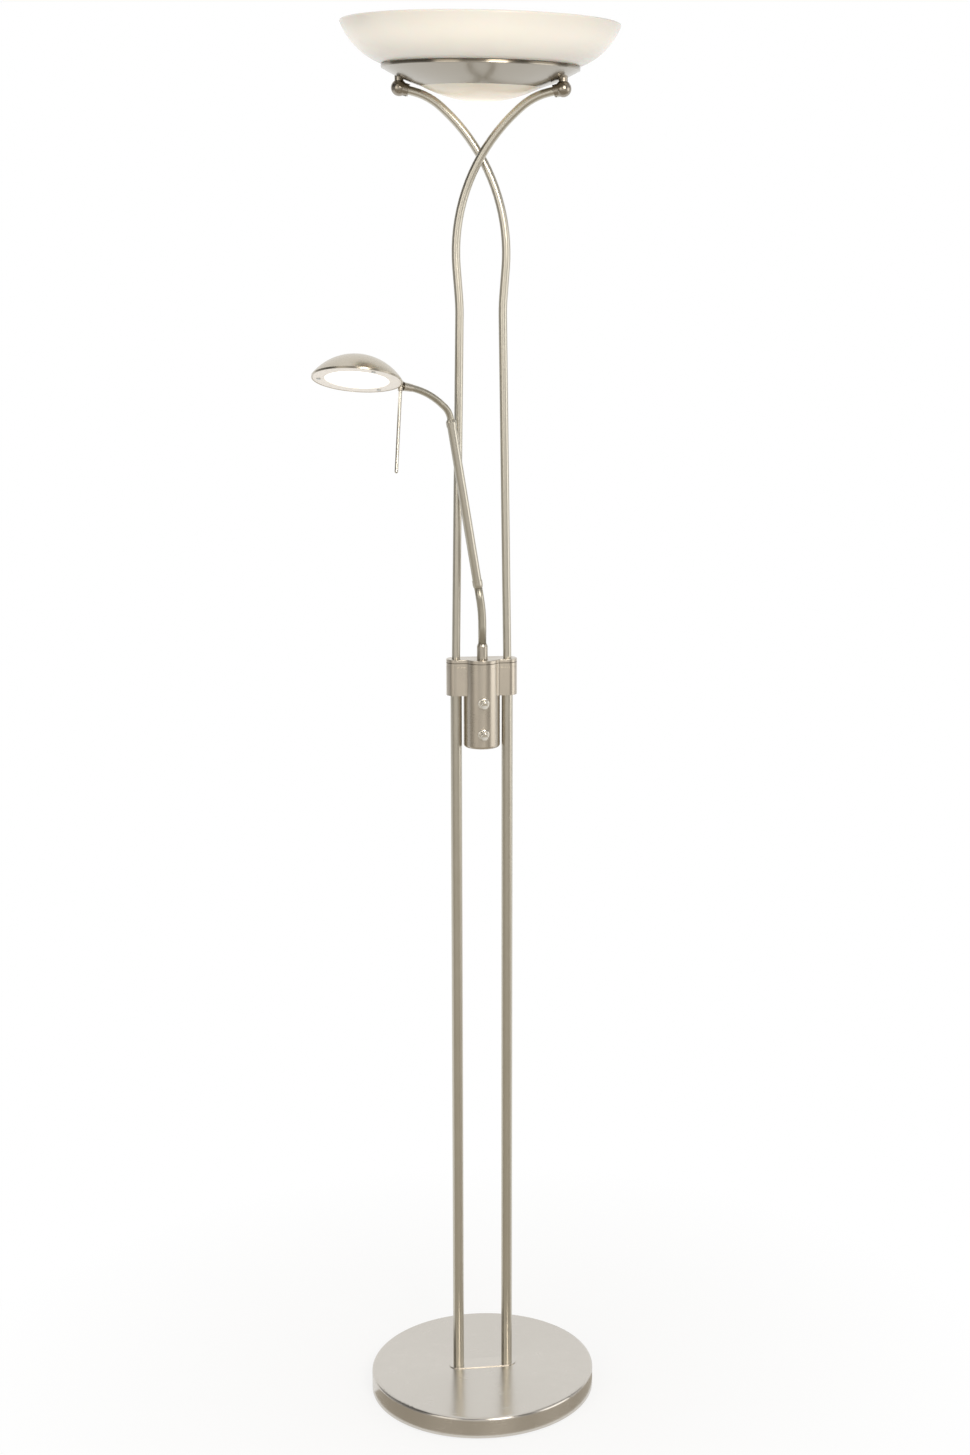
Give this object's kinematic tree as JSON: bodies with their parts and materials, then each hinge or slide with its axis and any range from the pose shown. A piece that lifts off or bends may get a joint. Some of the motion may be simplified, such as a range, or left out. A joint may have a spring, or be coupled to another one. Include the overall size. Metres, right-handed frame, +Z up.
{
  "type": "floor lamp",
  "caption": "Torchiere floor lamp: round weighted base, twin poles that cross under a glass uplight bowl, and a flexible reading arm with a small domed head and rod handle.",
  "frame": {"origin": "on the floor under the middle of the round base", "axes": "+Z up, -Y to the front where the dimmer knobs are, +X to the right; the reading head is at -X"},
  "size_m": [0.3834, 0.3408, 1.8002],
  "materials": {
    "satin_nickel": "satin brushed nickel plate",
    "turned_nickel": "turned nickel plate, darker at its edges",
    "gooseneck_nickel": "wound steel hose, satin nickel plate",
    "knob_chrome": "polished nickel",
    "iron": "raw casting",
    "pad": "matt black",
    "zinc": "zinc plated",
    "circuit_board": "white solder mask",
    "dimmer_case": "matt black",
    "carrier_aluminium": "mill finish",
    "gasket": "pale silicone",
    "opal_bowl": "opal glass, satin outside, lit from inside",
    "opal_dish": "frosted glass, lit from above",
    "diffuser": "milky sheet, lit from below",
    "lens": "milky sheet, lit from above",
    "head_ring": "satin white paint"
  },
  "bodies": {
    "stand": {"base_pad": "pad", "base_weight": "iron", "base_cover": "satin_nickel", "cord_grommet": "pad", "pole_plate": "satin_nickel", "foot_inserts": "zinc", "foot_nipples": "zinc", "foot_washers": "zinc", "foot_nuts": "zinc", "left_lower_pole": "satin_nickel", "right_lower_pole": "satin_nickel", "pole_top_inserts": "zinc", "coupling_nipples": "zinc", "tube_end_inserts": "zinc", "centre_body": "satin_nickel", "centre_lid": "satin_nickel", "driver_board": "circuit_board", "board_screws": "zinc", "upper_dimmer": "dimmer_case", "lower_dimmer": "dimmer_case", "upper_bezel": "knob_chrome", "lower_bezel": "knob_chrome", "left_upper_tube": "satin_nickel", "right_upper_tube": "satin_nickel", "left_ball": "turned_nickel", "right_ball": "turned_nickel", "socket_screws": "zinc", "ball_studs": "zinc", "neck_sleeves": "turned_nickel", "wedge_spacers": "zinc", "stud_nuts": "zinc", "cradle_ring": "satin_nickel", "lower_dish": "opal_dish", "dish_gasket": "gasket", "led_carrier": "carrier_aluminium", "up_led_board": "circuit_board", "down_led_board": "circuit_board", "uplight_diffuser": "diffuser", "uplight_bowl": "opal_bowl"},
    "upper_knob": {"upper_knob": "knob_chrome", "upper_shaft": "zinc"},
    "lower_knob": {"lower_knob": "knob_chrome", "lower_shaft": "zinc"},
    "arm_base": {"arm_collar": "satin_nickel", "swivel_stud": "zinc", "swivel_nut": "zinc", "lower_gooseneck": "gooseneck_nickel"},
    "arm": {"lower_ferrule": "satin_nickel", "arm_tube": "satin_nickel", "upper_ferrule": "satin_nickel", "upper_gooseneck": "gooseneck_nickel"},
    "arm_end": {"end_ferrule": "satin_nickel"},
    "head": {"head_knuckle": "satin_nickel", "head_shell": "satin_nickel", "head_heatsink": "carrier_aluminium", "head_board": "circuit_board", "head_lens": "lens", "head_bezel": "head_ring", "head_screws": "zinc", "rod_handle": "satin_nickel"}
  },
  "joints": [
    {"name": "upper_knob_turn", "type": "hinge", "parent": "stand", "child": "upper_knob", "pos_m": [0, -0.03, 0.9616], "axis": [0, -1, 0], "range_deg": [-135, 135]},
    {"name": "lower_knob_turn", "type": "hinge", "parent": "stand", "child": "lower_knob", "pos_m": [0, -0.03, 0.921], "axis": [0, -1, 0], "range_deg": [-135, 135]},
    {"name": "arm_swivel", "type": "hinge", "parent": "stand", "child": "arm_base", "pos_m": [0, -0.008, 1.017], "axis": [0, 0, 1], "range_deg": [-5, 145]},
    {"name": "arm_lean", "type": "hinge", "parent": "arm_base", "child": "arm", "pos_m": [-0.00047, -0.00817, 1.078], "axis": [0.342, -0.9397, 0], "range_deg": [-10, 20], "deforming": ["lower_gooseneck"]},
    {"name": "arm_curl", "type": "hinge", "parent": "arm", "child": "arm_end", "pos_m": [-0.0563, -0.02849, 1.35055], "axis": [0.342, -0.9397, 0], "range_deg": [-30, 45], "deforming": ["upper_gooseneck"]},
    {"name": "head_turn", "type": "hinge", "parent": "arm_end", "child": "head", "pos_m": [-0.10067, -0.04464, 1.36574], "axis": [-0.9224, -0.3357, 0.1908], "range_deg": [-60, 60]}
  ]
}
